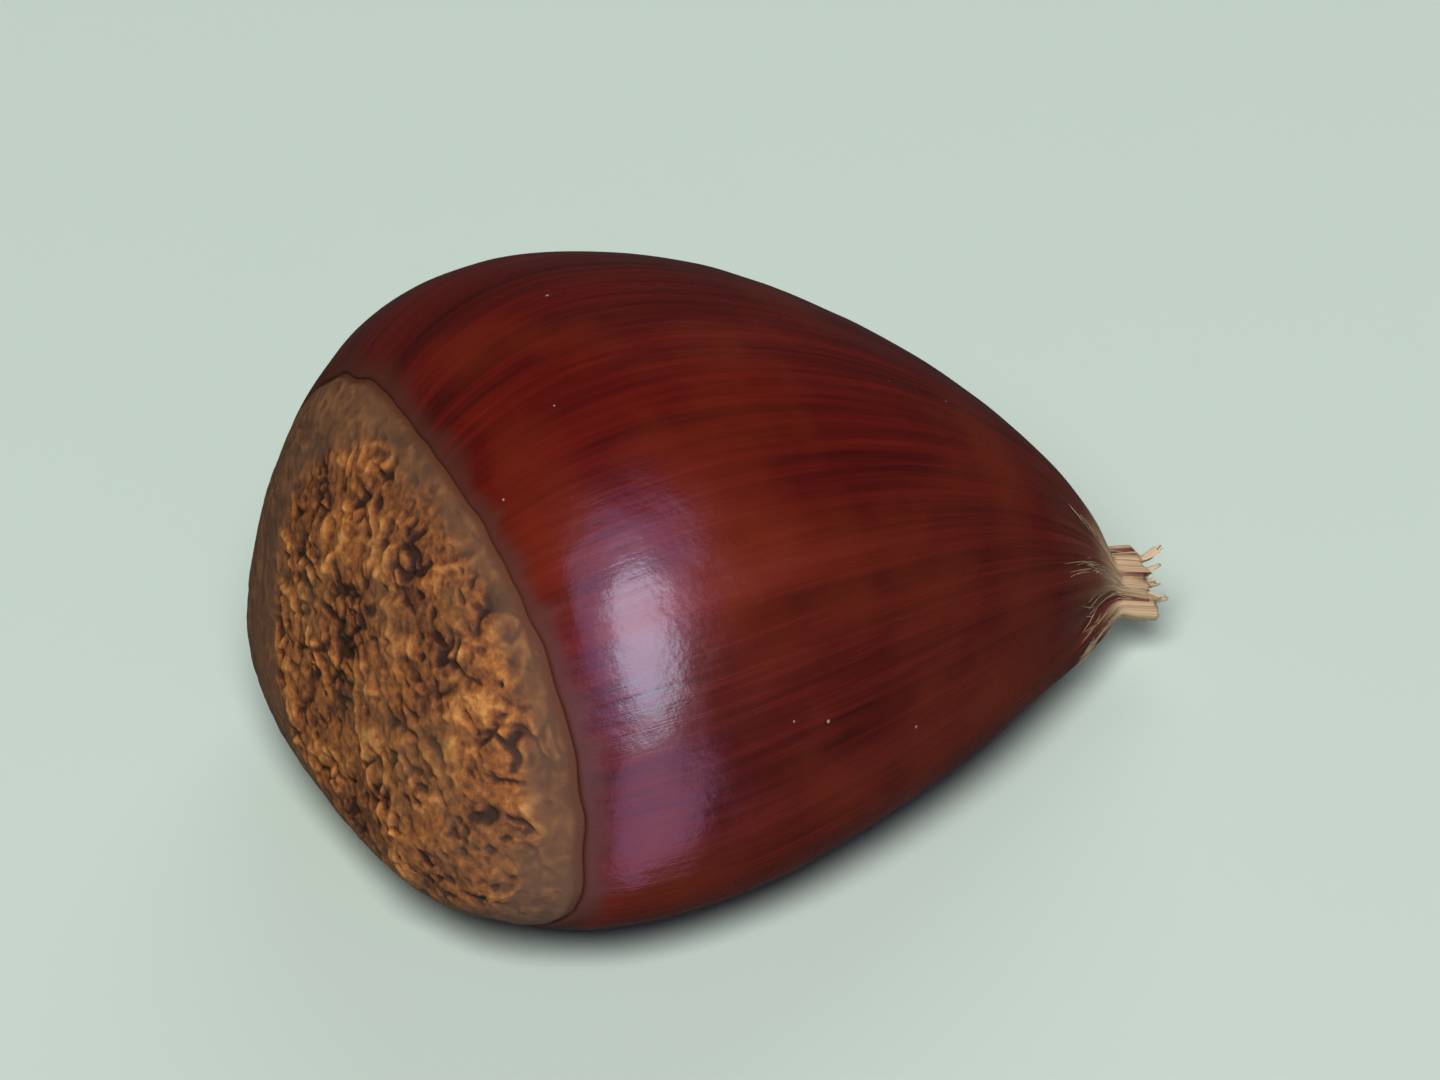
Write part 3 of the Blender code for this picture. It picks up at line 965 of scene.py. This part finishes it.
@dataclass
class Styles:
    """The ragged crown of dried styles round the cup at the end of the neck, torn off short."""

    form: NutForm
    finish: DriedFinish = DriedFinish("dried_styles", "#3A2418", "#CDB594", 0.85)
    count: int = 23
    lengths: int = 16
    length: float = 1.25 * MM
    root: float = 0.8 * MM
    half_width: float = 0.29 * MM
    half_thickness: float = 0.065 * MM
    circle: tuple[float, float] = (0.55, 0.8)
    splay: float = math.radians(7)
    curl: float = math.radians(54)
    sway: float = math.radians(34)
    twist: float = math.radians(85)
    seed: int = 11

    def model_one(self) -> bpy.types.Object:
        """Draw one style up from a ring.

        Returns:
            The style, 1 long and with a radius of 1.
        """
        deselect_all()
        bpy.ops.mesh.primitive_circle_add(vertices=14, radius=1, fill_type="NGON", location=(0, 0, 0))
        piece = bpy.context.object
        with editing(piece):
            for step in range(self.lengths):
                narrow = 0.7 if step == self.lengths - 1 else 1
                bpy.ops.mesh.extrude_region_move(TRANSFORM_OT_translate={"value": (0, 0, 1 / self.lengths)})
                bpy.ops.transform.resize(value=(narrow, narrow, 1), center_override=(0, 0, 0))
            bpy.ops.mesh.select_all(action="SELECT")
            bpy.ops.mesh.normals_make_consistent(inside=False)
        return piece

    def bend_one(self, flat: np.ndarray, turn: float, draws: random.Random) -> np.ndarray:
        """Bend a copy of the straight style out of the neck.

        Args:
            flat: The straight style's corners.
            turn: Where round the neck it grows.
            draws: The source of its chance differences.

        Returns:
            Its corners in the frame.
        """
        length = self.root + self.length * draws.uniform(0.2, 1.4)
        outwards = np.array([0, math.cos(turn), math.sin(turn)])
        sideways = np.array([0, -math.sin(turn), math.cos(turn)])
        out = self.form.neck_radius * draws.uniform(*self.circle)
        inner = self.form.axis(self.form.nut_length - self.root)
        along = unit(self.form.neck_end() - inner)
        start = inner + outwards * out
        # The end is torn across, so some of its fibres are longer than others
        still = np.zeros(len(flat))
        torn = 1 + 0.3 * perlin(np.stack([flat[:, 1] * 1.9, still, still + turn * 9], axis=-1))
        share = flat[:, 2] * torn / 1.3
        steps = np.linspace(0, 1, 33)
        lean = self.splay + self.curl * draws.uniform(-0.5, 1.6) * steps**2
        lean = lean + 0.25 * np.sin(steps * 9 + turn * 7) * steps
        aside = self.sway * draws.uniform(-1, 1) * steps
        heading = np.cos(lean)[:, None] * along + np.sin(lean)[:, None] * outwards
        heading = unit(heading + np.tan(aside)[:, None] * sideways)
        path = start + np.concatenate([[[0, 0, 0]], np.cumsum(heading[:-1], axis=0)]) * length / 32
        centre = np.stack([np.interp(share, steps, path[:, axis]) for axis in range(3)], axis=-1)
        ahead = unit(np.stack([np.interp(share, steps, heading[:, axis]) for axis in range(3)], axis=-1))
        across = unit(np.cross(ahead, sideways))
        ribs = perlin(np.stack([flat[:, 0] * 2.2, flat[:, 1] * 3.2, share * 2.5 + turn * 9], axis=-1))
        knots = perlin(np.stack([share * 5, still + turn * 5, still], axis=-1))
        narrow = (0.45 + 0.55 * smooth_step(0.1, 0.6, share) - 0.4 * share**2) * draws.uniform(0.7, 1.2)
        ragged = 1 + (0.6 * ribs + 0.4 * knots) * smooth_step(0, 0.4, share)
        twist = (self.twist * draws.uniform(-1, 1) * smooth_step(0.2, 1, share))[:, None]
        through = np.cos(twist) * across + np.sin(twist) * sideways
        over = np.cos(twist) * sideways - np.sin(twist) * across
        thickness = (flat[:, 0] * self.half_thickness * ragged)[:, None]
        breadth = (flat[:, 1] * self.half_width * narrow * ragged)[:, None]
        return centre + thickness * through + breadth * over

    def make(self) -> None:
        """Build and dress the crown, as one piece."""
        draws = random.Random(self.seed)
        pattern = self.model_one()
        flat = corner_places(pattern)
        note(pattern, "share", flat[:, 2])
        copies = []
        for number in range(self.count):
            turn = 2 * math.pi * (number + draws.uniform(-0.25, 0.25)) / self.count
            copy = pattern.copy()
            copy.data = pattern.data.copy()
            bpy.context.scene.collection.objects.link(copy)
            move_corners(copy, self.bend_one(flat, turn, draws))
            copies.append(copy)
        bpy.data.objects.remove(pattern, do_unlink=True)
        activate(copies[0])
        for copy in copies:
            copy.select_set(True)
        bpy.ops.object.join()
        piece = bpy.context.object
        with editing(piece):
            bpy.ops.mesh.normals_make_consistent(inside=False)
        finish_piece(piece, "styles", self.finish.material())


@dataclass
class Down:
    """Silky hairs that lie along the neck's pleats and run out over the shell."""

    form: NutForm
    finish: DriedFinish = DriedFinish("silky_down", "#8F7356", "#C8B090", 0.6)
    count: int = 900
    thickness: float = 0.02 * MM
    points: int = 7
    spread: float = 0.22
    reach: float = 3.1 * MM
    shortest: float = 0.5 * MM
    longer: float = 1.4 * MM
    bow: float = 0.08 * MM
    seed: int = 29

    def make(self) -> None:
        """Lay the hairs, as one piece of thin three-sided strands."""
        draws = np.random.default_rng(self.seed)
        share = np.linspace(0, 1, self.points)[None, :]
        crest = 2 * math.pi * draws.integers(0, self.form.pleat_count, self.count) / self.form.pleat_count
        angle = (crest + draws.normal(0, self.spread, self.count))[:, None]
        start = (self.form.nut_length - draws.uniform(0, 1, self.count) ** 1.4 * self.reach)[:, None]
        length = (self.shortest + self.longer * draws.uniform(0, 1, self.count) ** 2)[:, None]
        station = start - share * length
        wander = draws.normal(0, 0.06, self.count)[:, None] * share
        bow = draws.uniform(0, self.bow, self.count)[:, None] * np.sin(math.pi * np.clip(share * 1.1, 0, 1))
        lift = self.thickness + bow + self.form.pleat_depth * self.form.pleats(station, angle + wander)
        path = self.form.section(station, angle + wander, lift)
        ahead = unit(np.gradient(path, axis=1))
        upwards = unit(path - (self.form.neck_end() - np.array([9 * MM, 0, 0])))
        across = unit(np.cross(ahead, upwards))
        upwards = np.cross(across, ahead)
        width = self.thickness * (1 - 0.85 * share**2)[..., None]
        corners = []
        for side in range(3):
            turn = 2 * math.pi * side / 3
            corners.append(path + width * (math.cos(turn) * across + math.sin(turn) * upwards))
        corners = np.stack(corners, axis=2)
        piece = self.mesh_of(corners)
        note(piece, "share", np.broadcast_to(share[..., None], corners.shape[:3]).reshape(-1))
        finish_piece(piece, "down", self.finish.material())

    def mesh_of(self, corners: np.ndarray) -> bpy.types.Object:
        """One object of closed three-sided strands.

        Args:
            corners: Coordinates by strand, point along it and side.

        Returns:
            The object.
        """
        faces = []
        for strand in range(corners.shape[0]):
            base = strand * self.points * 3
            for step in range(self.points - 1):
                for side in range(3):
                    here, there = base + step * 3 + side, base + step * 3 + (side + 1) % 3
                    faces.append((here, there, there + 3, here + 3))
            last = base + (self.points - 1) * 3
            faces.append((base + 2, base + 1, base))
            faces.append((last, last + 1, last + 2))
        mesh = bpy.data.meshes.new("down")
        mesh.from_pydata(corners.reshape(-1, 3).tolist(), [], faces)
        piece = bpy.data.objects.new("down", mesh)
        bpy.context.scene.collection.objects.link(piece)
        with editing(piece):
            bpy.ops.mesh.normals_make_consistent(inside=False)
        return piece


@dataclass
class Studio:
    """Pale floor, soft lights and the camera at the photograph's angle."""

    floor_colour: str = "#C9D9CF"
    floor_size: float = 3.0
    azimuth: float = math.radians(-22.5)
    elevation: float = math.radians(33.5)
    roll: float = math.radians(-3.5)
    lens: float = 290.0
    distance: float = 0.454
    target: tuple[float, float, float] = (-0.3 * MM, 0.0, 9.2 * MM)

    def floor(self) -> None:
        """A plain matt floor."""
        deselect_all()
        bpy.ops.mesh.primitive_plane_add(size=self.floor_size, location=(0, 0, 0))
        floor = bpy.context.object
        floor.name = "floor"
        # Matt emulsion paint, rolled on: an even tone with no shine
        material, _, shader = blank_material("matt_emulsion_paint")
        shader.inputs["Base Color"].default_value = linear_colour(self.floor_colour)
        shader.inputs["Roughness"].default_value = 0.9
        floor.data.materials.append(material)
        floor.visible_glossy = False

    def towards_camera(self) -> Vector:
        """Direction from the nut to the camera."""
        level = math.cos(self.elevation)
        sideways, forwards = level * math.sin(self.azimuth), -level * math.cos(self.azimuth)
        return Vector((sideways, forwards, math.sin(self.elevation)))

    def camera(self) -> bpy.types.Object:
        """The camera, tipped as the photograph shows the nut.

        Returns:
            The camera.
        """
        aim = Vector(self.target)
        place = aim + self.towards_camera() * self.distance
        bpy.ops.object.camera_add(location=place)
        camera = bpy.context.object
        camera.data.lens = self.lens
        camera.data.clip_start = 0.005
        look = (aim - place).to_track_quat("-Z", "Y").to_matrix() @ Matrix.Rotation(self.roll, 3, "Z")
        camera.rotation_euler = look.to_euler()
        bpy.context.scene.camera = camera
        return camera

    def light(self, name: str, place: tuple[float, float, float], size: tuple[float, float], power: float,
              colour: str, turn: float = 0.0) -> bpy.types.Object:
        """A soft oval light that faces the nut.

        Args:
            name: The light's name.
            place: Where it hangs: to the right, up and towards the eye, as the camera sees the nut.
            size: Its width and height.
            power: Its power in watts.
            colour: The colour of its light.
            turn: How far it is turned about the line to the nut.

        Returns:
            The light.
        """
        view = bpy.context.scene.camera.matrix_world.to_3x3()
        at = Vector(self.target) + view @ Vector(place)
        bpy.ops.object.light_add(type="AREA", location=at)
        lamp = bpy.context.object
        lamp.name = name
        lamp.data.shape = "ELLIPSE"
        lamp.data.size, lamp.data.size_y = size
        lamp.data.energy = power
        lamp.data.color = linear_colour(colour)[:3]
        aim = (Vector(self.target) - at).to_track_quat("-Z", "Y").to_matrix()
        lamp.rotation_euler = (aim @ Matrix.Rotation(turn, 3, "Z")).to_euler()
        return lamp

    def make(self) -> None:
        """Set the floor, camera and lights up."""
        self.floor()
        self.camera()
        bpy.context.view_layer.update()
        overhead = self.light("overhead", (-0.12, 0.42, 1.34), (0.8, 0.8), 22.5, "#FFFDFA")
        backlight = self.light("backlight", (0.2, 1.1, -0.6), (1.0, 1.0), 5.0, "#F4F8FF")
        for lamp in (overhead, backlight):
            lamp.visible_glossy = False
        cards = (
            self.light("key_card", (0.11, -0.045, 0.29), (0.13, 0.28), 0.8, "#DFE6FF", turn=math.radians(20)),
            self.light("halo_card", (0.07, 0.02, 0.34), (0.42, 0.42), 0.88, "#B9B0FF"),
            self.light("violet_card", (0.115, -0.22, 0.16), (0.24, 0.18), 0.23, "#EBB8FF"),
        )
        for card in cards:
            card.visible_diffuse = False
        world = bpy.data.worlds.new("studio")
        bpy.context.scene.world = world
        world.use_nodes = True
        world.node_tree.nodes["Background"].inputs["Color"].default_value = linear_colour("#E9EEEC")
        world.node_tree.nodes["Background"].inputs["Strength"].default_value = 0.05
        bpy.context.scene.view_settings.view_transform = "Standard"


def main() -> None:
    """Build the nut piece by piece, then the studio round it."""
    logging.basicConfig(level=logging.INFO, format="%(name)s: %(message)s")
    low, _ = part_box(NODE)
    form = NutForm()
    form.settle(Vector(low))
    for part in (Shell(form), Scar(form), Styles(form), Down(form)):
        part.make()
    Studio().make()


if __name__ == "__main__":
    main()
